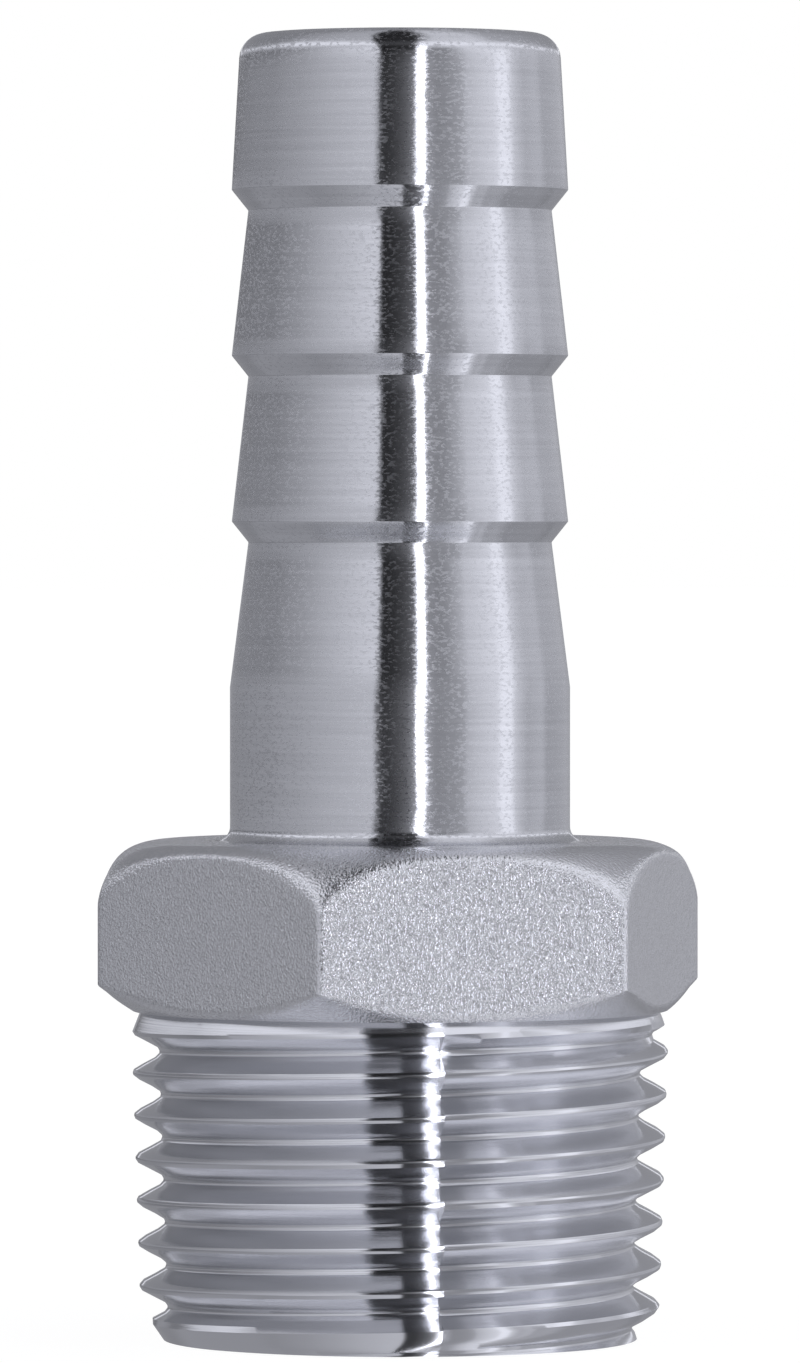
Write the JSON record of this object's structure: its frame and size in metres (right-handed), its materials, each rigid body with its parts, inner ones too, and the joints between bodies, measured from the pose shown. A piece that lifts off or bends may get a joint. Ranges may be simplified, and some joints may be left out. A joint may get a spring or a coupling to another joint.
{
  "type": "hose barb tail",
  "caption": "Stainless steel hose tail: barbed shank for a 10 mm hose, cast hexagon with a rounded shoulder, and a male taper pipe thread.",
  "frame": {"origin": "centre of the end face at the small end of the pipe thread, on which the part stands", "axes": "+Z along the bore, from the thread towards the barbs; two flats of the hexagon face +Y and -Y"},
  "size_m": [0.0196, 0.017, 0.041],
  "materials": {
    "stainless_steel": "turned bright on the shank and the thread, blasted as cast on the hexagon"
  },
  "bodies": {
    "root": {"hose_tail": "stainless_steel"}
  },
  "joints": []
}
